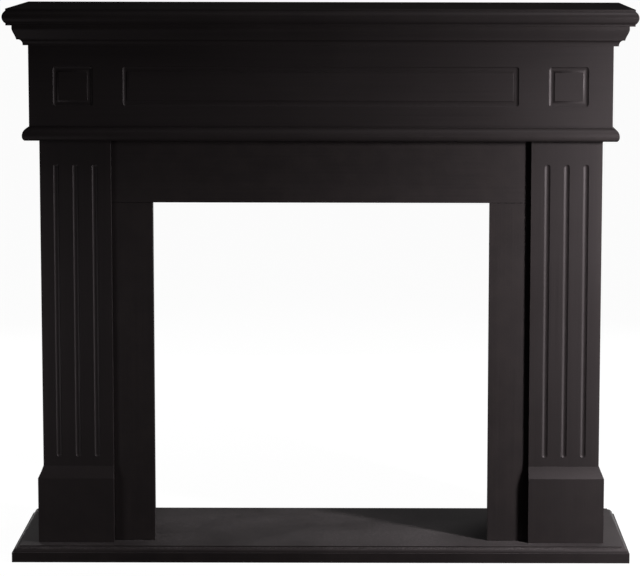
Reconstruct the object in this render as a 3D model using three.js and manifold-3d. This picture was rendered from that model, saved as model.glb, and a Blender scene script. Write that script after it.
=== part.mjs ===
// A dark lacquered fireplace mantelpiece: a moulded shelf and crown over a frieze with routed panels,
// fluted legs on plinths, an inner frame of slips round the fire opening, and a moulded base board.
// Millimetres, +Z up. The front faces -Y, the back is flat for a wall, and the origin is under the middle.
import * as THREE from "three";
import { mergeVertices } from "three/addons/utils/BufferGeometryUtils.js";
import Module from "manifold-3d";

const wasm = await Module();
wasm.setup();

// Overall sizes, over the edges of the shelf
const overallWidth = 1200;
const overallHeight = 1068;
const overallDepth = 350;

// Board thicknesses
const boardThickness = 18;
const slipThickness = 18;
const shelfThickness = 32;
const baseThickness = 30;

// How far each part stands out from the one below or behind it
const shelfOverhang = 43.5;
const friezeOverhang = 17;
const plinthOverhang = 10;
const baseFrontOverhang = 40;
const baseSideOverhang = 47.5;
const slipSetback = 10;

// Shelf edge: a shallow torus between two narrow fillets
const shelfTopFillet = 4;
const shelfBottomFillet = 4;
const torusBulge = 6.3;

// Frieze box and its routed panels, measured to the middle of each groove
const friezeHeight = 220.5;
const panelHeight = 65;
const squareWidth = 65;
const squareMargin = 52;
const panelSpacing = 68;

// Crown moulding, from its underside up
const crownHeight = 38.7;
const crownProjection = 27;
const crownTopFillet = 6.3;
const crownOgeeFoot = 19.2;
const crownOgeeLean = 1.2;
const crownCoveTop = 15.4;
const crownCoveHeight = 10;
const crownCoveSag = 1.9;
const crownFootProjection = 8.6;
const crownFootHeight = 1.5;

// Bead under the frieze: a broad round over a small one
const beadHeight = 26;
const beadProjection = 12.2;
const beadNose = 0.5;
const beadFootHeight = 9;
const beadFootSetback = 6;

// Legs, flutes and plinths
const legWidth = 137;
const fluteCount = 3;
const fluteSpacing = 37;
const fluteTopMargin = 45.5;
const fluteBottomMargin = 17;
const plinthHeight = 150;
const plinthBevelHeight = 23;

// Inner frame round the fire opening
const slipWidth = 78.5;
const headerSlipHeight = 122;

// Base board edge: fascia, ledge, ovolo and a quirk below the flat top
const fasciaHeight = 19;
const ledgeWidth = 3;
const ovoloWidth = 9;
const quirkWidth = 2;
const quirkHeight = 2;

// Round-nosed groove of the flutes and the routed panels
const grooveWidth = 11.6;
const grooveDepth = 2.3;

// Glue line left between pieces that touch
const jointGap = 0.3;

// How finely arcs are faceted, and how far a cutter stands clear of the face it cuts
const arcSegments = 8;
const grooveArcSegments = 6;
const grooveEndSegments = 16;
const cutterClearance = 2;

// Planes worked out from the sizes above
const backY = overallDepth / 2;
const friezeFrontY = shelfOverhang - overallDepth / 2;
const legFrontY = friezeFrontY + friezeOverhang;
const plinthFrontY = legFrontY - plinthOverhang;
const slipFrontY = legFrontY + slipSetback;
const baseFrontY = plinthFrontY - baseFrontOverhang;
const friezeHalfWidth = overallWidth / 2 - shelfOverhang;
const legOuterX = friezeHalfWidth - friezeOverhang;
const legInnerX = legOuterX - legWidth;
const baseHalfWidth = legOuterX + plinthOverhang + baseSideOverhang;
const shelfBottomZ = overallHeight - shelfThickness;
const friezeBottomZ = shelfBottomZ - friezeHeight;
const openingTopZ = friezeBottomZ - headerSlipHeight;
const openingHalfWidth = legInnerX - slipWidth;

const showColour = 0x282324;
const hiddenColour = 0x1d1a1a;

// Satin lacquer on every board that shows
function satinLacquer() {
  return new THREE.MeshStandardMaterial({ color: showColour, roughness: 0.36, metalness: 0 });
}

// Thin sealing coat on the boards behind
function sealingCoat() {
  return new THREE.MeshStandardMaterial({ color: hiddenColour, roughness: 0.62, metalness: 0 });
}

function namedMesh(name, geometry, material = satinLacquer()) {
  const mesh = new THREE.Mesh(geometry, material);
  mesh.name = name;
  return mesh;
}

// A plain board between two opposite corners
function board(name, low, high, material) {
  const size = high.map((value, axis) => value - low[axis]);
  const mesh = namedMesh(name, new THREE.BoxGeometry(...size), material);
  mesh.position.set(...low.map((value, axis) => value + size[axis] / 2));
  return mesh;
}

// A three.js geometry as a solid that can be joined and cut
function toSolid(geometry) {
  const bare = geometry.clone();
  bare.deleteAttribute("normal");
  bare.deleteAttribute("uv");
  const merged = mergeVertices(bare, 1e-4);
  const triangles = [];
  for (let i = 0; i < merged.index.count; i += 3) {
    const [a, b, c] = [0, 1, 2].map((corner) => merged.index.getX(i + corner));
    if (a !== b && b !== c && c !== a) triangles.push(a, b, c);
  }
  const vertProperties = merged.attributes.position.array;
  const triVerts = new Uint32Array(triangles);
  return new wasm.Manifold(new wasm.Mesh({ numProp: 3, vertProperties, triVerts }));
}

// A cut solid back as a flat-shaded three.js geometry
function toGeometry(solid) {
  const mesh = solid.getMesh();
  const indexed = new THREE.BufferGeometry();
  indexed.setAttribute("position", new THREE.BufferAttribute(mesh.vertProperties, 3));
  indexed.setIndex(new THREE.BufferAttribute(mesh.triVerts, 1));
  const geometry = indexed.toNonIndexed();
  geometry.computeVertexNormals();
  return geometry;
}

// Radius of the arc that is as wide as the chord and as deep as the rise
function arcRadius(chord, rise) {
  return (chord * chord / 4 + rise * rise) / (2 * rise);
}

// The groove's section: x across the face, y into the board from the face at y = 0
const grooveRadius = arcRadius(grooveWidth, grooveDepth);
const grooveCentre = grooveDepth - grooveRadius;
const grooveEdgeAngle = Math.atan2(-grooveCentre, grooveWidth / 2);

function grooveSection() {
  const shape = new THREE.Shape();
  shape.moveTo(-grooveWidth / 2, -cutterClearance);
  shape.lineTo(grooveWidth / 2, -cutterClearance);
  shape.lineTo(grooveWidth / 2, 0);
  shape.absarc(0, grooveCentre, grooveRadius, grooveEdgeAngle, Math.PI - grooveEdgeAngle, false);
  shape.closePath();
  return shape;
}

// Half the section, turned about its middle: the round end that the bit leaves
function grooveEnd() {
  const arc = new THREE.Path();
  arc.absarc(0, grooveCentre, grooveRadius, grooveEdgeAngle, Math.PI / 2, false);
  const nose = arc.getPoints(grooveArcSegments).slice(0, -1);
  const points = [
    new THREE.Vector2(0, -cutterClearance),
    new THREE.Vector2(grooveWidth / 2, -cutterClearance),
    ...nose,
    new THREE.Vector2(0, grooveDepth),
  ];
  return new THREE.LatheGeometry(points, grooveEndSegments);
}

// One pass of the round-nosed bit along a face, from one point (x, z) to another
function groove([x0, z0], [x1, z1]) {
  const run = new THREE.ExtrudeGeometry(grooveSection(), {
    depth: Math.hypot(x1 - x0, z1 - z0),
    bevelEnabled: false,
    curveSegments: grooveArcSegments * 2,
  });
  run.rotateY(Math.atan2(x1 - x0, z1 - z0));
  run.translate(x0, 0, z0);
  const start = grooveEnd().translate(x0, 0, z0);
  const finish = grooveEnd().translate(x1, 0, z1);
  return toSolid(run).add(toSolid(start)).add(toSolid(finish));
}

// Four passes round a rectangle
function groovedRectangle(left, right, bottom, top) {
  const corners = [[left, bottom], [right, bottom], [right, top], [left, top]];
  return corners
    .map((corner, i) => groove(corner, corners[(i + 1) % corners.length]))
    .reduce((joined, pass) => joined.add(pass));
}

// A board with its face on y = 0 and its foot on z = 0, centred on x = 0, cut by the passes given
function groovedBoard(width, height, thickness, passes) {
  const blank = new THREE.BoxGeometry(width, thickness, height);
  blank.translate(0, thickness / 2, height / 2);
  return toGeometry(passes.reduce((solid, pass) => solid.subtract(pass), toSolid(blank)));
}

// A board whose front and side edges are moulded alike and whose back is square. The edge is a list
// of points from the bottom up: x is how far the edge stands in from the outermost line, y is height.
function mouldedBoard(halfWidth, frontY, edge) {
  const vertices = [];
  const triangles = [];
  for (const { x: inset, y: z } of edge) {
    vertices.push(
      -halfWidth + inset, frontY + inset, z,
      halfWidth - inset, frontY + inset, z,
      halfWidth - inset, backY, z,
      -halfWidth + inset, backY, z,
    );
  }
  for (let level = 0; level < edge.length - 1; level += 1) {
    for (let side = 0; side < 4; side += 1) {
      const a = level * 4 + side;
      const b = level * 4 + (side + 1) % 4;
      triangles.push(a, b, b + 4, a, b + 4, a + 4);
    }
  }
  const top = (edge.length - 1) * 4;
  triangles.push(0, 2, 1, 0, 3, 2);
  triangles.push(top, top + 1, top + 2, top, top + 2, top + 3);
  const indexed = new THREE.BufferGeometry();
  indexed.setAttribute("position", new THREE.Float32BufferAttribute(vertices, 3));
  indexed.setIndex(triangles);
  const geometry = indexed.toNonIndexed();
  geometry.computeVertexNormals();
  return geometry;
}

// A length of moulding along x with its back on y = 0. The profile's x is how far it stands out and
// its y is height. A mitred end runs out at 45 degrees, and a square one is cut straight.
function mouldingLength(profile, length, mitreLeft, mitreRight) {
  const geometry = new THREE.ExtrudeGeometry(profile, {
    depth: 1,
    bevelEnabled: false,
    curveSegments: arcSegments,
  });
  const trim = jointGap / Math.SQRT2;
  const position = geometry.attributes.position;
  for (let i = 0; i < position.count; i += 1) {
    const out = position.getX(i);
    const height = position.getY(i);
    const atLeft = position.getZ(i) > 0.5;
    const reach = length / 2 + ((atLeft ? mitreLeft : mitreRight) ? out - trim : 0);
    position.setXYZ(i, atLeft ? -reach : reach, -out, height);
  }
  geometry.computeVertexNormals();
  return geometry;
}

// A moulding round the front of a block and along the sides that are named, as mitred lengths
function wrapMoulding(names, profile, block, z) {
  const front = block.front - jointGap;
  const left = block.left - (names.left ? jointGap : 0);
  const right = block.right + (names.right ? jointGap : 0);
  const group = new THREE.Group();
  const run = mouldingLength(profile, right - left, Boolean(names.left), Boolean(names.right));
  const frontMesh = namedMesh(names.front, run);
  frontMesh.position.set((left + right) / 2, front, z);
  group.add(frontMesh);
  const returnLength = backY - front;
  if (names.left) {
    const mesh = namedMesh(names.left, mouldingLength(profile, returnLength, false, true));
    mesh.rotation.z = -Math.PI / 2;
    mesh.position.set(left, (front + backY) / 2, z);
    group.add(mesh);
  }
  if (names.right) {
    const mesh = namedMesh(names.right, mouldingLength(profile, returnLength, true, false));
    mesh.rotation.z = Math.PI / 2;
    mesh.position.set(right, (front + backY) / 2, z);
    group.add(mesh);
  }
  return group;
}

// Shelf: fillet, torus and fillet round the front and both sides
function shelf() {
  const torusHeight = shelfThickness - shelfTopFillet - shelfBottomFillet;
  const radius = arcRadius(torusHeight, torusBulge);
  const halfAngle = Math.atan2(torusHeight / 2, radius - torusBulge);
  const middle = shelfBottomFillet + torusHeight / 2;
  const edge = new THREE.Path();
  edge.moveTo(torusBulge, 0);
  edge.lineTo(torusBulge, shelfBottomFillet);
  edge.absarc(radius, middle, radius, Math.PI + halfAngle, Math.PI - halfAngle, true);
  edge.lineTo(torusBulge, shelfThickness);
  const geometry = mouldedBoard(overallWidth / 2, -overallDepth / 2, edge.getPoints(arcSegments * 2));
  const mesh = namedMesh("shelf", geometry);
  mesh.position.z = shelfBottomZ;
  return mesh;
}

// Crown: small foot, cove, step, a long gentle ogee and top fillet
function crownProfile() {
  const coveFoot = new THREE.Vector2(crownFootProjection, crownFootHeight);
  const coveTop = new THREE.Vector2(crownCoveTop, crownFootHeight + crownCoveHeight);
  const inward = new THREE.Vector2(coveFoot.y - coveTop.y, coveTop.x - coveFoot.x).normalize();
  const hollow = coveFoot.clone().lerp(coveTop, 0.5).addScaledVector(inward, crownCoveSag * 2);
  const ogeeTop = crownHeight - crownTopFillet;
  const ogeeThird = (ogeeTop - coveTop.y) / 3;
  const lowControl = [crownOgeeFoot + crownOgeeLean, coveTop.y + ogeeThird];
  const highControl = [crownProjection - crownOgeeLean, ogeeTop - ogeeThird];
  const profile = new THREE.Shape();
  profile.moveTo(0, 0);
  profile.lineTo(crownFootProjection, 0);
  profile.lineTo(coveFoot.x, coveFoot.y);
  profile.quadraticCurveTo(hollow.x, hollow.y, coveTop.x, coveTop.y);
  profile.lineTo(crownOgeeFoot, coveTop.y);
  profile.bezierCurveTo(...lowControl, ...highControl, crownProjection, ogeeTop);
  profile.lineTo(crownProjection, crownHeight - jointGap);
  profile.lineTo(0, crownHeight - jointGap);
  profile.closePath();
  return profile;
}

// Bead: an arc that leaves the frieze and turns down into the nose, and a small round under it
function beadProfile() {
  const noseTop = beadFootHeight + beadNose;
  const rise = beadHeight - noseTop;
  const radius = (beadProjection * beadProjection + rise * rise) / (2 * beadProjection);
  const startAngle = Math.atan2(rise, radius - beadProjection);
  const footCentre = beadProjection - beadFootSetback;
  const profile = new THREE.Shape();
  profile.moveTo(0, 0);
  profile.lineTo(footCentre, 0);
  profile.absellipse(footCentre, beadFootHeight, beadFootSetback, beadFootHeight, -Math.PI / 2, 0, false);
  profile.absarc(beadProjection - radius, noseTop, radius, 0, startAngle, false);
  profile.closePath();
  return profile;
}

// Plinth facing: a flat board with a steep bevel along its top
function plinthProfile() {
  const height = plinthHeight - jointGap;
  const profile = new THREE.Shape();
  profile.moveTo(0, 0);
  profile.lineTo(plinthOverhang - jointGap, 0);
  profile.lineTo(plinthOverhang - jointGap, height - plinthBevelHeight);
  profile.lineTo(0, height);
  profile.closePath();
  return profile;
}

// Frieze box: front board with a square panel at each end and a long one between, two returns, a soffit
function friezeBox() {
  const group = new THREE.Group();
  const height = friezeHeight - jointGap;
  const middle = (beadHeight + friezeHeight - crownHeight) / 2;
  const bottom = middle - panelHeight / 2;
  const top = middle + panelHeight / 2;
  const squareOuter = friezeHalfWidth - squareMargin;
  const squareInner = squareOuter - squareWidth;
  const longHalf = squareInner - panelSpacing;
  const passes = [
    groovedRectangle(-squareOuter, -squareInner, bottom, top),
    groovedRectangle(-longHalf, longHalf, bottom, top),
    groovedRectangle(squareInner, squareOuter, bottom, top),
  ];
  const front = namedMesh("frieze_panel", groovedBoard(friezeHalfWidth * 2, height, boardThickness, passes));
  front.position.set(0, friezeFrontY, friezeBottomZ);
  group.add(front);
  const behind = friezeFrontY + boardThickness + jointGap;
  const topZ = friezeBottomZ + height;
  const inside = friezeHalfWidth - boardThickness;
  for (const [side, sign] of [["left", -1], ["right", 1]]) {
    const [near, far] = sign < 0 ? [-friezeHalfWidth, -inside] : [inside, friezeHalfWidth];
    group.add(board(`frieze_return_${side}`, [near, behind, friezeBottomZ], [far, backY, topZ]));
  }
  const soffitHalf = inside - jointGap;
  const soffitTop = friezeBottomZ + boardThickness;
  const soffitLow = [-soffitHalf, behind, friezeBottomZ];
  group.add(board("frieze_soffit", soffitLow, [soffitHalf, backY, soffitTop], sealingCoat()));
  return group;
}

// One leg: fluted front board, outer and inner side boards, and a plinth facing on front and outer side
function leg(side, sign) {
  const group = new THREE.Group();
  const bottomZ = baseThickness + jointGap;
  const topZ = friezeBottomZ - jointGap;
  const centreX = sign * (legInnerX + legWidth / 2);
  const fluteBottom = plinthHeight + fluteBottomMargin - jointGap + grooveWidth / 2;
  const fluteTop = friezeBottomZ - fluteTopMargin - bottomZ - grooveWidth / 2;
  const passes = [];
  for (let i = 0; i < fluteCount; i += 1) {
    const x = (i - (fluteCount - 1) / 2) * fluteSpacing;
    passes.push(groove([x, fluteBottom], [x, fluteTop]));
  }
  const geometry = groovedBoard(legWidth, topZ - bottomZ, boardThickness, passes);
  const front = namedMesh(`leg_front_${side}`, geometry);
  front.position.set(centreX, legFrontY, bottomZ);
  group.add(front);

  const behind = legFrontY + boardThickness + jointGap;
  const outer = [sign * legOuterX, sign * (legOuterX - boardThickness)].sort((a, b) => a - b);
  const inner = [sign * legInnerX, sign * (legInnerX + boardThickness)].sort((a, b) => a - b);
  group.add(board(`leg_outer_${side}`, [outer[0], behind, bottomZ], [outer[1], backY, topZ]));
  group.add(board(`leg_inner_${side}`, [inner[0], behind, bottomZ], [inner[1], backY, topZ], sealingCoat()));

  const names = { front: `plinth_front_${side}`, [side]: `plinth_return_${side}` };
  const block = { front: legFrontY, left: centreX - legWidth / 2, right: centreX + legWidth / 2 };
  group.add(wrapMoulding(names, plinthProfile(), block, bottomZ));
  return group;
}

// Inner frame: two upright slips on the base board and a header slip on top of them
function innerFrame() {
  const group = new THREE.Group();
  const outerX = legInnerX - jointGap;
  const slipBackY = slipFrontY + slipThickness;
  const footZ = baseThickness + jointGap;
  for (const [side, sign] of [["left", -1], ["right", 1]]) {
    const [near, far] = sign < 0 ? [-outerX, -openingHalfWidth] : [openingHalfWidth, outerX];
    group.add(board(`slip_${side}`, [near, slipFrontY, footZ], [far, slipBackY, openingTopZ]));
  }
  const headerLow = [-outerX, slipFrontY, openingTopZ + jointGap];
  group.add(board("header_slip", headerLow, [outerX, slipBackY, friezeBottomZ - jointGap]));
  return group;
}

// Base board: fascia, ledge, ovolo and quirk round the front and both sides
function baseBoard() {
  const ovoloTop = baseThickness - quirkHeight;
  const edge = new THREE.Path();
  edge.moveTo(0, 0);
  edge.lineTo(0, fasciaHeight);
  edge.lineTo(ledgeWidth, fasciaHeight);
  edge.absellipse(
    ledgeWidth + ovoloWidth, fasciaHeight, ovoloWidth, ovoloTop - fasciaHeight, Math.PI, Math.PI / 2, true,
  );
  edge.lineTo(ledgeWidth + ovoloWidth + quirkWidth, ovoloTop);
  edge.lineTo(ledgeWidth + ovoloWidth + quirkWidth, baseThickness);
  return namedMesh("base_board", mouldedBoard(baseHalfWidth, baseFrontY, edge.getPoints(arcSegments)));
}

const mantelpiece = new THREE.Group();
const friezeBlock = { front: friezeFrontY, left: -friezeHalfWidth, right: friezeHalfWidth };
const crownNames = { front: "crown_front", left: "crown_left", right: "crown_right" };
const beadNames = { front: "bead_front", left: "bead_left", right: "bead_right" };
mantelpiece.add(shelf());
mantelpiece.add(wrapMoulding(crownNames, crownProfile(), friezeBlock, shelfBottomZ - crownHeight));
mantelpiece.add(friezeBox());
mantelpiece.add(wrapMoulding(beadNames, beadProfile(), friezeBlock, friezeBottomZ));
mantelpiece.add(leg("left", -1));
mantelpiece.add(leg("right", 1));
mantelpiece.add(innerFrame());
mantelpiece.add(baseBoard());

export default mantelpiece;
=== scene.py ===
# Dark lacquered fireplace mantelpiece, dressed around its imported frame. Metres, front facing -Y.
import math

import bmesh
import bpy
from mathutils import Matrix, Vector


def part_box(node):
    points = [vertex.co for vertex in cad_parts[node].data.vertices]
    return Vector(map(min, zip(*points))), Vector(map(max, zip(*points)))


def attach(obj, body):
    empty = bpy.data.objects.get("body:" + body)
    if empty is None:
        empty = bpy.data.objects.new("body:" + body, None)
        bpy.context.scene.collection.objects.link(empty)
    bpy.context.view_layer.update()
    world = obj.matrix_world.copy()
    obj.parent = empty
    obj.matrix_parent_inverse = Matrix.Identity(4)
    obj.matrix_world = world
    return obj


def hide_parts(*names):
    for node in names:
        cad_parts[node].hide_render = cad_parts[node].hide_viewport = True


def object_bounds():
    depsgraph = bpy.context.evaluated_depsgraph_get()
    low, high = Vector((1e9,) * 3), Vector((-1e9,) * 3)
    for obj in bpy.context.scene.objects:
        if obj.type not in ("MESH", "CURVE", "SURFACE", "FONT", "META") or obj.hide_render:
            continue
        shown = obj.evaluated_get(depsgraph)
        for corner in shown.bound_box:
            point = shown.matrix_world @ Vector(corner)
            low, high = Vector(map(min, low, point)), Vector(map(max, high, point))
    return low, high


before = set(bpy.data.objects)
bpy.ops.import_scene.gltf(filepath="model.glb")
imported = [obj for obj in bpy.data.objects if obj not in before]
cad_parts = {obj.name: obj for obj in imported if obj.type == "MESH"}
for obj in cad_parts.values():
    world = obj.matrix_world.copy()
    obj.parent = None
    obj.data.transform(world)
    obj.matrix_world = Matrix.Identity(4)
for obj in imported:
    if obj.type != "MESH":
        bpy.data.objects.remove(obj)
cadLow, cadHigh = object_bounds()
scene = bpy.context.scene
mm = 0.001
print("mantelpiece: frame loaded,", len(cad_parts), "boards and mouldings")

# Camera: square to the front, a little right of the middle and above the shelf, looking slightly down
cameraOptions = {
    "place": (0.09, -5.2, 1.2765),
    "pitch": 7.185,          # degrees down
    "roll": 0.115,           # degrees
    "lens": 150.0,
    "shift": (-0.0759, -0.0849),
}


def makeCamera(options):
    data = bpy.data.cameras.new("camera")
    data.lens = options["lens"]
    data.shift_x, data.shift_y = options["shift"]
    camera = bpy.data.objects.new("camera", data)
    scene.collection.objects.link(camera)
    camera.location = options["place"]
    tilt = math.radians(90 - options["pitch"])
    camera.rotation_euler = (tilt, math.radians(-options["roll"]), 0)
    scene.camera = camera


makeCamera(cameraOptions)
scene.view_settings.view_transform = "Standard"
print("mantelpiece: camera set")


# Small helpers for node trees
def wire(tree, source, target):
    if isinstance(source, bpy.types.NodeSocket):
        tree.links.new(source, target)
    else:
        target.default_value = source


def addNode(tree, kind, inputs=None, **settings):
    node = tree.nodes.new(kind)
    for name, value in settings.items():
        setattr(node, name, value)
    for name, value in (inputs or {}).items():
        wire(tree, value, node.inputs[name])
    return node


def maths(tree, operation, *values):
    node = addNode(tree, "ShaderNodeMath", operation=operation)
    for socket, value in zip(node.inputs, values):
        wire(tree, value, socket)
    return node.outputs[0]


def remap(tree, value, fromRange, toRange):
    return addNode(tree, "ShaderNodeMapRange", {
        "Value": value, "From Min": fromRange[0], "From Max": fromRange[1],
        "To Min": toRange[0], "To Max": toRange[1]}).outputs["Result"]


def noiseOf(tree, vector, scale, detail, **others):
    sockets = {"Vector": vector, "Scale": scale, "Detail": detail}
    sockets.update(others)
    return addNode(tree, "ShaderNodeTexNoise", sockets).outputs["Fac"]


def newGroup(name, kind, inputs, outputs):
    tree = bpy.data.node_groups.new(name, kind)
    for label, socketType in inputs:
        tree.interface.new_socket(label, in_out="INPUT", socket_type="NodeSocket" + socketType)
    for label, socketType in outputs:
        tree.interface.new_socket(label, in_out="OUTPUT", socket_type="NodeSocket" + socketType)
    return tree, tree.nodes.new("NodeGroupInput"), tree.nodes.new("NodeGroupOutput")


# Effects that several finishes share, as shader groups
effectOptions = {
    "grainDetail": 4.0,
    "grainRoughness": 0.62,
    "rippleRatio": 3.7,              # how much finer the small ripple of the skin is
    "rippleShare": 0.35,
    "rubAndHighlightScale": 34.0,
    "rubAndHighlightBreaks": (0.4, 0.66),        # noise values between which a lighter edge patch comes in: rubbing and painted highlight
    "rubLeast": 0.25,
    "dustAndLightSlope": 0.55,               # faces that look up less than this get no dust and no painted top light
    "speckScale": 260.0,
    "speckRoughness": 0.7,
    "specks": (0.42, 0.7),
    "speckLeast": 0.15,
    "driftScale": 7.0,
    "drifts": (0.3, 0.7),
    "driftLeast": 0.4,
    "patches": (0.34, 0.68),
    "patchDetail": 4.0,
    "patchRoughness": 0.55,
    "patchDistortion": 0.6,
}


def brushedGrain(options):
    inputs = [("Vector", "Vector"), ("Stretch", "Vector"), ("Contrast", "Float")]
    tree, start, end = newGroup("brushedGrain", "ShaderNodeTree", inputs, [("Streaks", "Float")])
    given = start.outputs
    stretched = addNode(tree, "ShaderNodeVectorMath", operation="MULTIPLY")
    wire(tree, given["Vector"], stretched.inputs[0])
    wire(tree, given["Stretch"], stretched.inputs[1])
    noise = noiseOf(
        tree, stretched.outputs[0], 1.0, options["grainDetail"], Roughness=options["grainRoughness"])
    contrasted = maths(tree, "MULTIPLY", maths(tree, "SUBTRACT", noise, 0.5), given["Contrast"])
    streaks = maths(tree, "ADD", contrasted, 0.5)
    wire(tree, addNode(tree, "ShaderNodeClamp", {"Value": streaks}).outputs[0], end.inputs["Streaks"])
    return tree


def sprayedSkin(options):
    inputs = [("Vector", "Vector"), ("Scale", "Float")]
    tree, start, end = newGroup("sprayedSkin", "ShaderNodeTree", inputs, [("Height", "Float")])
    given = start.outputs
    broad = noiseOf(tree, given["Vector"], given["Scale"], 1.0)
    finer = maths(tree, "MULTIPLY", given["Scale"], options["rippleRatio"])
    ripple = noiseOf(tree, given["Vector"], finer, 2.0)
    quiet = maths(tree, "MULTIPLY", ripple, options["rippleShare"])
    wire(tree, maths(tree, "ADD", broad, quiet), end.inputs["Height"])
    return tree


# Lighter convex edges: slight rubbing, and a painted highlight along the arrises
def arrisRubAndHighlight(options):
    inputs = [("Vector", "Vector"), ("Start", "Float"), ("Full", "Float")]
    tree, start, end = newGroup("arrisRubAndHighlight", "ShaderNodeTree", inputs, [("Mask", "Float")])
    given = start.outputs
    convex = addNode(tree, "ShaderNodeNewGeometry").outputs["Pointiness"]
    edge = remap(tree, convex, (given["Start"], given["Full"]), (0.0, 1.0))
    patches = noiseOf(tree, given["Vector"], options["rubAndHighlightScale"], 5.0)
    broken = remap(tree, patches, options["rubAndHighlightBreaks"], (options["rubLeast"], 1.0))
    wire(tree, maths(tree, "MULTIPLY", edge, broken), end.inputs["Mask"])
    return tree


# Speckled mask on up-facing faces: settled dust, and on the hearth board painted light on its top
def settledDustAndLight(options):
    inputs = [("Vector", "Vector"), ("Amount", "Float")]
    tree, start, end = newGroup("settledDustAndLight", "ShaderNodeTree", inputs, [("Mask", "Float")])
    given = start.outputs
    normal = addNode(tree, "ShaderNodeNewGeometry").outputs["Normal"]
    upward = addNode(tree, "ShaderNodeSeparateXYZ", {"Vector": normal}).outputs["Z"]
    lying = remap(tree, upward, (options["dustAndLightSlope"], 1.0), (0.0, 1.0))
    specks = noiseOf(
        tree, given["Vector"], options["speckScale"], 6.0, Roughness=options["speckRoughness"])
    drift = noiseOf(tree, given["Vector"], options["driftScale"], 3.0)
    speckled = remap(tree, specks, options["specks"], (options["speckLeast"], 1.0))
    drifted = remap(tree, drift, options["drifts"], (options["driftLeast"], 1.0))
    dust = maths(tree, "MULTIPLY", maths(tree, "MULTIPLY", speckled, drifted), lying)
    wire(tree, maths(tree, "MULTIPLY", dust, given["Amount"]), end.inputs["Mask"])
    return tree


def wipedPatches(options):
    inputs = [("Vector", "Vector"), ("Scale", "Float")]
    tree, start, end = newGroup("wipedPatches", "ShaderNodeTree", inputs, [("Mask", "Float")])
    given = start.outputs
    cloud = noiseOf(tree, given["Vector"], given["Scale"], options["patchDetail"],
                    Roughness=options["patchRoughness"], Distortion=options["patchDistortion"])
    wire(tree, remap(tree, cloud, options["patches"], (0.0, 1.0)), end.inputs["Mask"])
    return tree


sharedEffects = (brushedGrain, sprayedSkin, arrisRubAndHighlight, settledDustAndLight, wipedPatches)
groups = {make.__name__: make(effectOptions) for make in sharedEffects}


def useGroup(tree, name, inputs):
    node = addNode(tree, "ShaderNodeGroup", node_tree=groups[name])
    for label, value in inputs.items():
        wire(tree, value, node.inputs[label])
    return node.outputs[0]


# The Mix node's sockets 6 and 7 are its two colours
def mixColour(tree, factor, first, second):
    node = addNode(tree, "ShaderNodeMix", data_type="RGBA")
    wire(tree, factor, node.inputs[0])
    wire(tree, first, node.inputs[6])
    wire(tree, second, node.inputs[7])
    return node.outputs[2]


lacquerOptions = {
    "deep": (0.0125, 0.0098, 0.0102, 1),      # espresso black
    "warm": (0.0205, 0.0158, 0.0160, 1),      # where the stain thins along the grain
    "rubbedAndHighlight": (0.030, 0.023, 0.022, 1),       # arrises: slight rubbing, and a painted highlight
    # dust; on the hearth board also the colour of the painted light on its top
    "dust": (0.20, 0.177, 0.183, 1),
    "reflection": (1, 0.89, 0.93, 1),         # tint of the glaze
    "roughness": 0.46,                        # where it is glossiest
    "grainLength": 3.0,                       # repeats per metre along the grain
    "grainFineness": 360.0,                   # and across it
    "grainContrast": 2.2,
    "grainStain": 0.5,
    "grainSheen": 0.03,
    "grainRelief": 0.3,
    "skinScale": 240.0,
    "rubAndHighlightStart": 0.52,
    "rubAndHighlightFull": 0.6,
    "rubAndHighlightShare": 0.5,
    "wipedScale": 5.0,
    "wipedSheen": 0.05,
    "dustSheen": 0.8,
    "dustiness": 0.06,
    "hearthDustAndLight": 0.8,                   # dust, and painted light that lightens the hearth board's top
    "bump": 0.12,
    "bumpDepth": 0.0006,
}

sealerOptions = {
    "dark": (0.0090, 0.0078, 0.0076, 1),
    "fibre": (0.0240, 0.0185, 0.0150, 1),     # board showing through the thin coat
    "dust": (0.12, 0.11, 0.10, 1),
    "roughness": 0.66,
    "cloudSheen": 0.14,
    "fibreScale": 160.0,
    "cloudScale": 6.0,
    "napScale": 420.0,
    "thinLeast": 0.25,
    "thinShare": 0.5,
    "dustiness": 0.3,
    "bump": 0.35,
    "bumpDepth": 0.0006,
}


def newFinish(name):
    material = bpy.data.materials.new(name)
    material.use_nodes = True
    tree = material.node_tree
    place = addNode(tree, "ShaderNodeTexCoord").outputs["Object"]
    return material, tree, tree.nodes["Principled BSDF"], place


def raiseBump(tree, shader, height, options):
    bump = addNode(tree, "ShaderNodeBump", {
        "Height": height, "Strength": options["bump"], "Distance": options["bumpDepth"]})
    wire(tree, bump.outputs[0], shader.inputs["Normal"])


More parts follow.
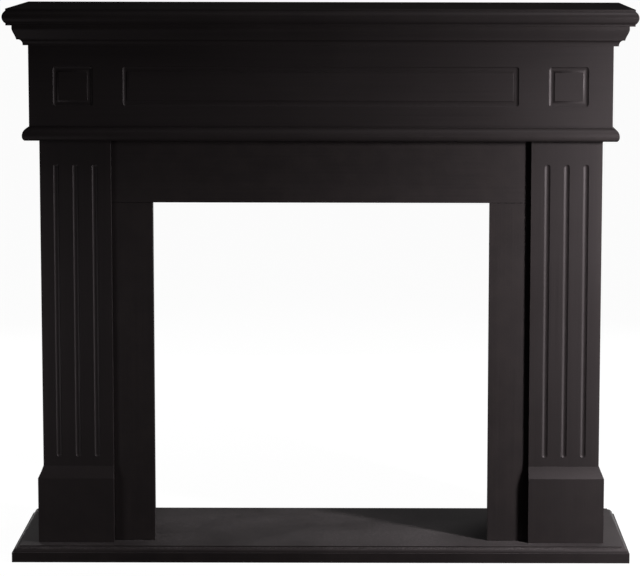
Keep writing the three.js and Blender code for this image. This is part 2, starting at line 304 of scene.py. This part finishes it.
def satinLacquer(name, grainAxis, options, dustiness):
    material, tree, shader, place = newFinish(name)
    stretch = [options["grainFineness"]] * 3
    stretch[grainAxis] = options["grainLength"]
    streaks = useGroup(tree, "brushedGrain", {
        "Vector": place, "Stretch": stretch, "Contrast": options["grainContrast"]})
    skin = useGroup(tree, "sprayedSkin", {"Vector": place, "Scale": options["skinScale"]})
    rub = useGroup(tree, "arrisRubAndHighlight", {
        "Vector": place, "Start": options["rubAndHighlightStart"], "Full": options["rubAndHighlightFull"]})
    # dust mask: real dust, and on the hearth board painted light that lightens its top
    dust = useGroup(tree, "settledDustAndLight", {"Vector": place, "Amount": dustiness})
    wiped = useGroup(tree, "wipedPatches", {"Vector": place, "Scale": options["wipedScale"]})
    thinned = maths(tree, "MULTIPLY", streaks, options["grainStain"])
    stain = mixColour(tree, thinned, options["deep"], options["warm"])
    # lighter arrises: slight rubbing, and a painted highlight
    rubbedAndHighlit = maths(tree, "MULTIPLY", rub, options["rubAndHighlightShare"])
    edged = mixColour(tree, rubbedAndHighlit, stain, options["rubbedAndHighlight"])
    wire(tree, mixColour(tree, dust, edged, options["dust"]), shader.inputs["Base Color"])
    sheen = maths(tree, "MULTIPLY_ADD", streaks, options["grainSheen"], options["roughness"])
    clouded = maths(tree, "MULTIPLY_ADD", wiped, options["wipedSheen"], sheen)
    dulled = maths(tree, "MULTIPLY_ADD", dust, options["dustSheen"], clouded)
    wire(tree, dulled, shader.inputs["Roughness"])
    shader.inputs["Specular Tint"].default_value = options["reflection"]
    raiseBump(tree, shader, maths(tree, "MULTIPLY_ADD", streaks, options["grainRelief"], skin), options)
    return material


def sealedBoard(name, options):
    material, tree, shader, place = newFinish(name)
    fibre = useGroup(tree, "wipedPatches", {"Vector": place, "Scale": options["fibreScale"]})
    cloud = useGroup(tree, "wipedPatches", {"Vector": place, "Scale": options["cloudScale"]})
    nap = useGroup(tree, "sprayedSkin", {"Vector": place, "Scale": options["napScale"]})
    dust = useGroup(tree, "settledDustAndLight", {"Vector": place, "Amount": options["dustiness"]})
    thinness = maths(tree, "MULTIPLY_ADD", cloud, options["thinShare"], options["thinLeast"])
    thin = maths(tree, "MULTIPLY", fibre, thinness)
    coat = mixColour(tree, thin, options["dark"], options["fibre"])
    wire(tree, mixColour(tree, dust, coat, options["dust"]), shader.inputs["Base Color"])
    rough = maths(tree, "MULTIPLY_ADD", cloud, options["cloudSheen"], options["roughness"])
    wire(tree, rough, shader.inputs["Roughness"])
    raiseBump(tree, shader, nap, options)
    return material


# The grain runs along X, Y or Z, as the board does
lacquerAlong = satinLacquer("lacquer_along", 0, lacquerOptions, lacquerOptions["dustiness"])
lacquerDeep = satinLacquer("lacquer_deep", 1, lacquerOptions, lacquerOptions["dustiness"])
lacquerUp = satinLacquer("lacquer_up", 2, lacquerOptions, lacquerOptions["dustiness"])
# The hearth board's heavy dust is partly painted light that lightens its top
lacquerHearth = satinLacquer("lacquer_hearth", 0, lacquerOptions, lacquerOptions["hearthDustAndLight"])
sealer = sealedBoard("sealing_coat", sealerOptions)
print("mantelpiece: finishes mixed")


# Turning raw shapes into finished pieces. Lengths in the pieces' own options are millimetres.
pieceOptions = {
    "easedFrom": 50,         # an edge that turns by fewer degrees stays as it is
    "easingSegments": 2,
}
weldGap = 1e-6               # metres, as these three are
looseWeldGap = 1e-5
sliverEdge = 1e-7


def toMesh(name, bm):
    mesh = bpy.data.meshes.new(name)
    bm.to_mesh(mesh)
    bm.free()
    return mesh


def linkObject(name, mesh):
    obj = bpy.data.objects.new(name, mesh)
    scene.collection.objects.link(obj)
    return obj


# The evaluated result becomes the object's plain mesh
def settle(obj):
    depsgraph = bpy.context.evaluated_depsgraph_get()
    source = obj.evaluated_get(depsgraph)
    mesh = bpy.data.meshes.new_from_object(source, preserve_all_data_layers=True, depsgraph=depsgraph)
    obj.modifiers.clear()
    obj.data = mesh


def cleanUp(bm):
    bmesh.ops.remove_doubles(bm, verts=bm.verts, dist=weldGap)
    bmesh.ops.dissolve_degenerate(bm, edges=bm.edges, dist=sliverEdge)
    bmesh.ops.recalc_face_normals(bm, faces=bm.faces)
    for face in bm.faces:
        face.smooth = True


def finishPiece(name, bm, nodes, material, easing, easedFrom=pieceOptions["easedFrom"]):
    cleanUp(bm)
    obj = linkObject(name, toMesh(name, bm))
    obj.data.materials.append(material)
    bevel = obj.modifiers.new("easing", "BEVEL")
    bevel.width = easing * mm
    bevel.segments = pieceOptions["easingSegments"]
    bevel.limit_method = "ANGLE"
    bevel.angle_limit = math.radians(easedFrom)
    even = obj.modifiers.new("evenShade", "WEIGHTED_NORMAL")
    even.keep_sharp = True
    settle(obj)
    obj.data.name = name
    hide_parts(*nodes)
    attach(obj, "root")
    return obj


def ringOf(bm, points):
    return [bm.verts.new(point) for point in points]


def bridge(bm, rings):
    for outer, inner in zip(rings, rings[1:]):
        for i in range(len(outer)):
            j = (i + 1) % len(outer)
            bm.faces.new((outer[i], outer[j], inner[j], inner[i]))


def arcOf(centre, radii, fromAngle, toAngle, steps):
    turn = [fromAngle + (toAngle - fromAngle) * i / steps for i in range(steps + 1)]
    return [(centre[0] + radii[0] * math.cos(a), centre[1] + radii[1] * math.sin(a)) for a in turn]


def bezierOf(points, steps):
    def at(t):
        layer = [Vector(point) for point in points]
        while len(layer) > 1:
            layer = [a.lerp(b, t) for a, b in zip(layer, layer[1:])]
        return tuple(layer[0])
    return [at(i / steps) for i in range(steps + 1)]


def scaled(points):
    return [(out * mm, height * mm) for out, height in points]


# A board whose front and sides are moulded alike: rectangles stacked from the bottom up
def mouldedBoard(name, node, edge, easing, material):
    low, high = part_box(node)
    bm = bmesh.new()
    rings = []
    for inset, height in edge:
        left, right, front, z = low.x + inset, high.x - inset, low.y + inset, low.z + height
        corners = [(left, front, z), (right, front, z), (right, high.y, z), (left, high.y, z)]
        rings.append(ringOf(bm, corners))
    bridge(bm, rings)
    bm.faces.new(rings[0])
    bm.faces.new(rings[-1])
    return finishPiece(name, bm, [node], material, easing)


shelfOptions = {"topFillet": 4, "bottomFillet": 4, "torusBulge": 6.3, "torusSteps": 18, "easing": 0.5}


def shelfEdge(options):
    low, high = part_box("shelf")
    thickness = (high.z - low.z) / mm
    bulge = options["torusBulge"]
    chord = thickness - options["topFillet"] - options["bottomFillet"]
    radius = (chord * chord / 4 + bulge * bulge) / (2 * bulge)
    half = math.atan2(chord / 2, radius - bulge)
    middle = options["bottomFillet"] + chord / 2
    ends = (math.pi + half, math.pi - half)
    torus = arcOf((radius, middle), (radius, radius), *ends, options["torusSteps"])
    return scaled([(bulge, 0)] + torus + [(bulge, thickness)])


mouldedBoard("shelf_board", "shelf", shelfEdge(shelfOptions), shelfOptions["easing"], lacquerAlong)

baseOptions = {
    "fascia": 19, "ledge": 3, "ovolo": 9, "ovoloSteps": 10, "quirkWidth": 2, "quirkHeight": 2,
    "easing": 0.5,
}


def baseEdge(options):
    low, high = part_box("base_board")
    thickness = (high.z - low.z) / mm
    ovoloTop = thickness - options["quirkHeight"]
    ovoloEnd = options["ledge"] + options["ovolo"]
    radii = (options["ovolo"], ovoloTop - options["fascia"])
    ovolo = arcOf((ovoloEnd, options["fascia"]), radii, math.pi, math.pi / 2, options["ovoloSteps"])
    quirk = ovoloEnd + options["quirkWidth"]
    return scaled([(0, 0), (0, options["fascia"])] + ovolo + [(quirk, ovoloTop), (quirk, thickness)])


mouldedBoard("hearth_board", "base_board", baseEdge(baseOptions), baseOptions["easing"], lacquerHearth)
print("mantelpiece: shelf and hearth board made")


# Geometry nodes: a moulding section led round the front and sides of a block, with mitred corners.
# The section lies in XZ (x stands out, z is height). Three extrusions of one metre along Y give four
# stations, which are then put at the block's corners from the left back round to the right back. A side
# that has no return ends at its front corner.
def mitredMoulding():
    sizes = ["Left", "Right", "Front", "Back", "Foot", "Left Return", "Right Return"]
    inputs = [("Geometry", "Geometry"), ("Material", "Material")] + [(name, "Float") for name in sizes]
    tree, start, end = newGroup("mitredMoulding", "GeometryNodeTree", inputs, [("Geometry", "Geometry")])
    value = start.outputs
    pastFirst, pastSecond, pastThird = 0.5, 1.5, 2.5
    firstCap = addNode(tree, "GeometryNodeFlipFaces", {"Mesh": value["Geometry"]})
    run = value["Geometry"]
    selection = True
    onward = addNode(tree, "FunctionNodeInputVector", vector=(0, 1, 0)).outputs[0]
    for span in range(3):
        step = addNode(tree, "GeometryNodeExtrudeMesh", {
            "Mesh": run, "Selection": selection, "Offset": onward, "Offset Scale": 1.0,
            "Individual": False})
        run, selection = step.outputs["Mesh"], step.outputs["Top"]
    joined = addNode(tree, "GeometryNodeJoinGeometry")
    wire(tree, firstCap.outputs[0], joined.inputs[0])
    wire(tree, run, joined.inputs[0])
    closed = addNode(tree, "GeometryNodeMergeByDistance", {
        "Geometry": joined.outputs[0], "Distance": looseWeldGap})

    position = addNode(tree, "GeometryNodeInputPosition").outputs[0]
    out, station, height = addNode(tree, "ShaderNodeSeparateXYZ", {"Vector": position}).outputs
    onRight = maths(tree, "GREATER_THAN", station, pastSecond)
    onFirst = maths(tree, "LESS_THAN", station, pastFirst)
    onLast = maths(tree, "GREATER_THAN", station, pastThird)
    leftBack = maths(tree, "MULTIPLY", onFirst, value["Left Return"])
    rightBack = maths(tree, "MULTIPLY", onLast, value["Right Return"])
    atBack = maths(tree, "ADD", leftBack, rightBack)
    leftX = maths(tree, "SUBTRACT", value["Left"], maths(tree, "MULTIPLY", out, value["Left Return"]))
    rightX = maths(tree, "ADD", value["Right"], maths(tree, "MULTIPLY", out, value["Right Return"]))
    frontY = maths(tree, "SUBTRACT", value["Front"], out)
    length = maths(tree, "SUBTRACT", rightX, leftX)
    across = maths(tree, "MULTIPLY_ADD", length, onRight, leftX)
    reach = maths(tree, "SUBTRACT", value["Back"], frontY)
    backward = maths(tree, "MULTIPLY_ADD", reach, atBack, frontY)
    up = maths(tree, "ADD", value["Foot"], height)
    target = addNode(tree, "ShaderNodeCombineXYZ", {"X": across, "Y": backward, "Z": up})
    placed = addNode(tree, "GeometryNodeSetPosition", {
        "Geometry": closed.outputs[0], "Position": target.outputs[0]})
    merged = addNode(tree, "GeometryNodeMergeByDistance", {
        "Geometry": placed.outputs[0], "Distance": weldGap})
    real = addNode(tree, "GeometryNodeRealizeInstances", {"Geometry": merged.outputs[0]})
    coated = addNode(tree, "GeometryNodeSetMaterial", {
        "Geometry": real.outputs[0], "Material": value["Material"]})
    wire(tree, coated.outputs[0], end.inputs[0])
    return tree


def runNodes(name, mesh, tree, values):
    obj = linkObject(name, mesh)
    modifier = obj.modifiers.new(tree.name, "NODES")
    modifier.node_group = tree
    for item in tree.interface.items_tree:
        if item.in_out == "INPUT" and item.name in values:
            modifier[item.identifier] = values[item.name]
    settle(obj)
    bm = bmesh.new()
    bm.from_mesh(obj.data)
    bpy.data.objects.remove(obj)
    return bm


mitredTree = mitredMoulding()


# The mouldings keep the block planes and heights of the nodes that they replace
def leadRound(name, section, nodes, options, material):
    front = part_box(nodes["front"])
    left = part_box(nodes["left"])[1].x if "left" in nodes else front[0].x
    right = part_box(nodes["right"])[0].x if "right" in nodes else front[1].x
    flat = bmesh.new()
    flat.faces.new(ringOf(flat, [(out, 0, height) for out, height in section]))
    bm = runNodes(name + "_section", toMesh(name + "_section", flat), mitredTree, {
        "Left": left, "Right": right, "Front": front[1].y, "Back": cadHigh.y, "Foot": front[0].z,
        "Left Return": float("left" in nodes), "Right Return": float("right" in nodes),
        "Material": material})
    replaced = list(nodes.values())
    return finishPiece(
        name, bm, replaced, material, options["easing"], options["easedFrom"])


crownOptions = {
    "height": 38.4, "projection": 27, "topFillet": 6.3, "ogeeFoot": 19.2, "ogeeLean": 1.2,
    "coveTop": 15.4, "coveHeight": 10, "coveSag": 1.9, "footProjection": 8.6, "footHeight": 1.5,
    "steps": 12, "easing": 0.4, "easedFrom": 40,
}


# Crown: small foot, cove, step, a long gentle ogee and top fillet
def crownSection(options):
    coveFoot = Vector((options["footProjection"], options["footHeight"]))
    coveTop = Vector((options["coveTop"], options["footHeight"] + options["coveHeight"]))
    chord = coveTop - coveFoot
    inward = Vector((-chord.y, chord.x)).normalized()
    hollow = (coveFoot + coveTop) / 2 + inward * options["coveSag"] * 2
    cove = bezierOf([coveFoot, hollow, coveTop], options["steps"])
    projection, ogeeTop = options["projection"], options["height"] - options["topFillet"]
    ogeeFoot, lean = options["ogeeFoot"], options["ogeeLean"]
    third = (ogeeTop - coveTop.y) / 3
    ogee = bezierOf([
        (ogeeFoot, coveTop.y), (ogeeFoot + lean, coveTop.y + third),
        (projection - lean, ogeeTop - third), (projection, ogeeTop)], options["steps"])
    top = [(projection, options["height"]), (0, options["height"])]
    return scaled([(0, 0), (coveFoot.x, 0)] + cove + ogee + top)


leadRound("crown_moulding", crownSection(crownOptions), {
    "front": "crown_front", "left": "crown_left", "right": "crown_right"}, crownOptions, lacquerAlong)

beadOptions = {
    "height": 26, "projection": 12.2, "nose": 0.5, "footHeight": 9, "footSetback": 6,
    "steps": 14, "easing": 0.4, "easedFrom": 40,
}


# Bead: an arc that leaves the frieze and turns down into the nose, and a small round under it
def beadSection(options):
    noseTop = options["footHeight"] + options["nose"]
    rise = options["height"] - noseTop
    projection = options["projection"]
    radius = (projection * projection + rise * rise) / (2 * projection)
    finish = math.atan2(rise, radius - projection)
    footCentre = projection - options["footSetback"]
    radii = (options["footSetback"], options["footHeight"])
    foot = arcOf((footCentre, options["footHeight"]), radii, -math.pi / 2, 0, options["steps"] // 2)
    swell = arcOf((projection - radius, noseTop), (radius, radius), 0, finish, options["steps"])
    return scaled([(0, 0)] + foot + swell)


leadRound("frieze_bead", beadSection(beadOptions), {
    "front": "bead_front", "left": "bead_left", "right": "bead_right"}, beadOptions, lacquerAlong)

plinthOptions = {"bevelHeight": 23, "bevelSag": 0.6, "bevelSteps": 8, "easing": 0.5, "easedFrom": 25}


# Plinth facing: a slightly hollow bevel along its top, steeper towards the leg
def plinthSection(options, side):
    low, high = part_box("plinth_front_" + side)
    foot = Vector((high.y - low.y, high.z - low.z - options["bevelHeight"] * mm))
    head = Vector((0, high.z - low.z))
    chord = head - foot
    inward = Vector((-chord.y, chord.x)).normalized()
    hollow = (foot + head) / 2 + inward * options["bevelSag"] * mm * 2
    return [(0, 0), (foot.x, 0)] + bezierOf([foot, hollow, head], options["bevelSteps"])


for side in ("left", "right"):
    leadRound("plinth_" + side, plinthSection(plinthOptions, side), {
        "front": "plinth_front_" + side, side: "plinth_return_" + side}, plinthOptions, lacquerUp)
print("mantelpiece: crown, bead and plinths led round")


# Routed grooves: rings of points that follow the cut from its eased lip to its deepest line
grooveOptions = {"width": 11.6, "depth": 2.3, "lip": 0.5, "lipSteps": 4, "arcSteps": 8, "turnSteps": 10}


def grooveSection(options):
    width, depth, lip = options["width"] * mm, options["depth"] * mm, options["lip"] * mm
    radius = (width * width / 4 + depth * depth) / (2 * depth)
    centre = depth - radius
    wall = math.sqrt(radius * radius - (lip - centre) ** 2)
    eased = arcOf((wall + lip, lip), (lip, lip), -math.pi / 2, -math.pi, options["lipSteps"])
    start = math.atan2(wall, lip - centre)
    turn = [start * (1 - i / options["arcSteps"]) for i in range(1, options["arcSteps"] + 1)]
    return eased + [(radius * math.sin(a), centre + radius * math.cos(a)) for a in turn]


grooveHalf = grooveSection(grooveOptions)


# A straight cut with round ends, from one height to another
def fluteRing(offset, depth, bottom, top, steps):
    upper = arcOf((0, top), (offset, offset), 0, math.pi, steps)
    lower = arcOf((0, bottom), (offset, offset), math.pi, 2 * math.pi, steps)
    return [(x, depth, z) for x, z in upper + lower]


# A cut round a rectangle: round corners outside its middle line, sharp ones inside
def frameRing(offset, depth, left, right, bottom, top, steps):
    points = []
    for quarter, (x, z) in enumerate([(right, top), (left, top), (left, bottom), (right, bottom)]):
        if offset >= 0:
            begin = quarter * math.pi / 2
            points += arcOf((x, z), (offset, offset), begin, begin + math.pi / 2, steps)
        else:
            inX = offset if x == right else -offset
            inZ = offset if z == top else -offset
            points += [(x + inX, z + inZ)] * (steps + 1)
    return [(x, depth, z) for x, z in points]


# Fills the flat face between the cuts and the board's outline
def fillFace(bm, left, right, bottom, top):
    bmesh.ops.remove_doubles(bm, verts=bm.verts, dist=weldGap)
    rim = [edge for edge in bm.edges if edge.is_boundary]
    corners = ringOf(bm, [(left, 0, bottom), (right, 0, bottom), (right, 0, top), (left, 0, top)])
    rim += [bm.edges.new((corners[i], corners[(i + 1) % 4])) for i in range(4)]
    bmesh.ops.triangle_fill(bm, use_beauty=True, use_dissolve=False, edges=rim)


# Gives a face its thickness, sides and back
def thicken(bm, thickness):
    bmesh.ops.remove_doubles(bm, verts=bm.verts, dist=weldGap)
    rim = [edge for edge in bm.edges if edge.is_boundary]
    made = bmesh.ops.extrude_edge_only(bm, edges=rim)["geom"]
    behind = [part for part in made if isinstance(part, bmesh.types.BMVert)]
    bmesh.ops.translate(bm, verts=behind, vec=(0, thickness, 0))
    bmesh.ops.contextual_create(bm, geom=[edge for edge in bm.edges if edge.is_boundary])


friezeOptions = {
    "panelHeight": 65, "squareWidth": 65, "squareMargin": 52, "panelSpacing": 68, "easing": 0.7,
}


# Frieze board: a square panel at each end and a long one between, each outlined by one groove
def friezeBoard(options):
    low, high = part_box("frieze_panel")
    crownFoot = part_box("crown_front")[0].z
    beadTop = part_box("bead_front")[1].z
    middle = (crownFoot + beadTop) / 2 - low.z
    bottom = middle - options["panelHeight"] * mm / 2
    top = middle + options["panelHeight"] * mm / 2
    outer = high.x - options["squareMargin"] * mm
    inner = outer - options["squareWidth"] * mm
    long = inner - options["panelSpacing"] * mm
    bm = bmesh.new()
    across = grooveHalf + [(-offset, depth) for offset, depth in reversed(grooveHalf[:-1])]
    for left, right in ((-outer, -inner), (-long, long), (inner, outer)):
        steps = grooveOptions["turnSteps"] // 2
        rings = [ringOf(bm, frameRing(s, d, left, right, bottom, top, steps)) for s, d in across]
        bridge(bm, rings)
        bm.faces.new(rings[-1])
    fillFace(bm, low.x, high.x, 0, high.z - low.z)
    thicken(bm, high.y - low.y)
    bmesh.ops.translate(bm, verts=bm.verts, vec=(0, low.y, low.z))
    return finishPiece(
        "frieze_board", bm, ["frieze_panel"], lacquerAlong, options["easing"])


friezeBoard(friezeOptions)
print("mantelpiece: frieze routed")


# Geometry nodes: one fluted strip repeated side by side
def fluteRow():
    inputs = [("Geometry", "Geometry"), ("Count", "Int"), ("Spacing", "Float"), ("Material", "Material")]
    tree, start, end = newGroup("fluteRow", "GeometryNodeTree", inputs, [("Geometry", "Geometry")])
    value = start.outputs
    spaces = maths(tree, "SUBTRACT", value["Count"], 1.0)
    first = maths(tree, "MULTIPLY", maths(tree, "MULTIPLY", spaces, value["Spacing"]), -0.5)
    begin = addNode(tree, "ShaderNodeCombineXYZ", {"X": first})
    step = addNode(tree, "ShaderNodeCombineXYZ", {"X": value["Spacing"]})
    row = addNode(tree, "GeometryNodeMeshLine", {
        "Count": value["Count"], "Start Location": begin.outputs[0], "Offset": step.outputs[0]})
    strips = addNode(tree, "GeometryNodeInstanceOnPoints", {
        "Points": row.outputs[0], "Instance": value["Geometry"]})
    real = addNode(tree, "GeometryNodeRealizeInstances", {"Geometry": strips.outputs[0]})
    merged = addNode(tree, "GeometryNodeMergeByDistance", {
        "Geometry": real.outputs[0], "Distance": looseWeldGap})
    coated = addNode(tree, "GeometryNodeSetMaterial", {
        "Geometry": merged.outputs[0], "Material": value["Material"]})
    wire(tree, coated.outputs[0], end.inputs[0])
    return tree


fluteTree = fluteRow()
legOptions = {"flutes": 3, "spacing": 37, "topMargin": 45.5, "bottomMargin": 17, "easing": 0.8}


# Leg board: the fluted strips, a plain margin at each side, then thickness
def legBoard(side, options):
    node = "leg_front_" + side
    low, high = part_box(node)
    height = high.z - low.z
    half = (high.x - low.x) / 2
    spacing = options["spacing"] * mm
    nose = grooveOptions["width"] * mm / 2
    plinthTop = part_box("plinth_front_" + side)[1].z
    bottom = plinthTop - low.z + options["bottomMargin"] * mm + nose
    top = height - options["topMargin"] * mm - nose
    strip = bmesh.new()
    steps = grooveOptions["turnSteps"]
    bridge(strip, [ringOf(strip, fluteRing(s, d, bottom, top, steps)) for s, d in grooveHalf])
    fillFace(strip, -spacing / 2, spacing / 2, 0, height)
    bm = runNodes(node + "_row", toMesh(node + "_strip", strip), fluteTree, {
        "Count": options["flutes"], "Spacing": spacing, "Material": lacquerUp})
    fluted = options["flutes"] * spacing / 2
    for near, far in ((-half, -fluted), (fluted, half)):
        bm.faces.new(ringOf(bm, [(near, 0, 0), (far, 0, 0), (far, 0, height), (near, 0, height)]))
    thicken(bm, high.y - low.y)
    bmesh.ops.translate(bm, verts=bm.verts, vec=((low.x + high.x) / 2, low.y, low.z))
    return finishPiece("leg_board_" + side, bm, [node], lacquerUp, options["easing"])


for side in ("left", "right"):
    legBoard(side, legOptions)
print("mantelpiece: legs fluted")

# Plain boards with eased arrises
boardOptions = {"shownEasing": 0.8, "hiddenEasing": 0.5}


def plainBoard(node, material, easing):
    low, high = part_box(node)
    bm = bmesh.new()
    rings = [ringOf(bm, [(low.x, low.y, z), (high.x, low.y, z), (high.x, high.y, z), (low.x, high.y, z)])
             for z in (low.z, high.z)]
    bridge(bm, rings)
    bm.faces.new(rings[0])
    bm.faces.new(rings[1])
    return finishPiece(node + "_board", bm, [node], material, easing)


shown = {"header_slip": lacquerAlong}
for side in ("left", "right"):
    shown["slip_" + side] = lacquerUp
    shown["leg_outer_" + side] = lacquerUp
    shown["frieze_return_" + side] = lacquerDeep
for node, material in shown.items():
    plainBoard(node, material, boardOptions["shownEasing"])
for node in ("leg_inner_left", "leg_inner_right", "frieze_soffit"):
    plainBoard(node, sealer, boardOptions["hiddenEasing"])
print("mantelpiece: slips, sides and inner boards made")

# Pale floor, white surround and soft studio light
studioOptions = {
    "floorSize": 120.0,
    "floorTone": (0.10, 0.10, 0.10, 1),
    "floorMottle": 1.02,
    "mottleScale": 3.0,
    "floorRoughness": 0.9,
    "floorGlow": 0.965,
    "ambient": 0.006,
    "lights": {
        "key": {
            "place": (1.2, -0.8, 0.97), "aim": (0.7, -0.12, 0.6), "size": (0.12, 0.16),
            "power": 6.4, "spread": 95},
        "high": {
            "place": (0.9, -0.6, 2.2), "aim": (0.3, -0.12, 1.7), "size": (0.4, 0.4), "power": 6.0},
        "low": {
            "place": (1.1, -0.8, 0.12), "aim": (0.3, -0.12, 0.2), "size": (0.15, 0.15), "power": 3.8},
        "left": {
            "place": (-2.0, -1.6, 1.0), "aim": (0.3, -0.12, 0.85), "size": (0.5, 0.5), "power": 0.4},
        "low left": {
            "place": (-1.0, -0.75, 0.3), "aim": (-0.45, -0.12, 0.25), "size": (0.3, 0.3), "power": 0.9},
        "over": {
            "place": (-0.1, -1.0, 2.6), "aim": (0, -0.1, 0), "size": (1.2, 0.3), "power": 0.6},
        "back": {
            "place": (0.0, 2.2, 0.6), "aim": (0.15, -0.12, 0.6), "size": (1.2, 1.2), "power": 0.5},
        "top": {
            "place": (0.2, 1.6, 2.9), "aim": (0.15, -0.12, 0.6), "size": (1.5, 1.5), "power": 0.3},
        "left back": {
            "place": (-1.7, 2.2, 0.7), "aim": (-0.2, 0.1, 0.6), "size": (1.0, 1.0), "power": 10.0},
        "right back": {
            "place": (1.7, 2.2, 0.7), "aim": (0.2, 0.1, 0.6), "size": (1.0, 1.0), "power": 14.0},
    },
}


def makeFloor(options):
    half = options["floorSize"] / 2
    bm = bmesh.new()
    bm.faces.new(ringOf(bm, [(-half, -half, 0), (half, -half, 0), (half, half, 0), (-half, half, 0)]))
    floor = linkObject("floor", toMesh("floor", bm))
    material, tree, shader, place = newFinish("pale_floor")
    mottle = useGroup(tree, "wipedPatches", {"Vector": place, "Scale": options["mottleScale"]})
    tone = options["floorTone"]
    lighter = tuple(min(1.0, value * options["floorMottle"]) for value in tone[:3]) + (1,)
    wire(tree, mixColour(tree, mottle, tone, lighter), shader.inputs["Base Color"])
    shader.inputs["Roughness"].default_value = options["floorRoughness"]
    shader.inputs["Emission Color"].default_value = (1, 1, 1, 1)
    shader.inputs["Emission Strength"].default_value = options["floorGlow"]
    floor.data.materials.append(material)
    floor.visible_glossy = False
    floor.visible_diffuse = False


def makeLight(name, options):
    data = bpy.data.lights.new(name, "AREA")
    data.shape = "RECTANGLE"
    data.size, data.size_y = options["size"]
    data.energy = options["power"]
    data.spread = math.radians(options.get("spread", 180))
    light = bpy.data.objects.new(name, data)
    scene.collection.objects.link(light)
    light.visible_camera = False
    light.location = options["place"]
    heading = Vector(options["aim"]) - Vector(options["place"])
    light.rotation_euler = heading.to_track_quat("-Z", "Y").to_euler()


# White where the camera looks past the floor, dim for everything that the light touches
def makeSurround(options):
    world = bpy.data.worlds.new("surround")
    world.use_nodes = True
    tree = world.node_tree
    background = tree.nodes["Background"]
    seen = addNode(tree, "ShaderNodeLightPath").outputs["Is Camera Ray"]
    brightness = maths(tree, "MULTIPLY_ADD", seen, 1 - options["ambient"], options["ambient"])
    wire(tree, brightness, background.inputs["Strength"])
    background.inputs["Color"].default_value = (1, 1, 1, 1)
    scene.world = world


makeFloor(studioOptions)
for name, light in studioOptions["lights"].items():
    makeLight(name, light)
makeSurround(studioOptions)
print("mantelpiece: studio lit")
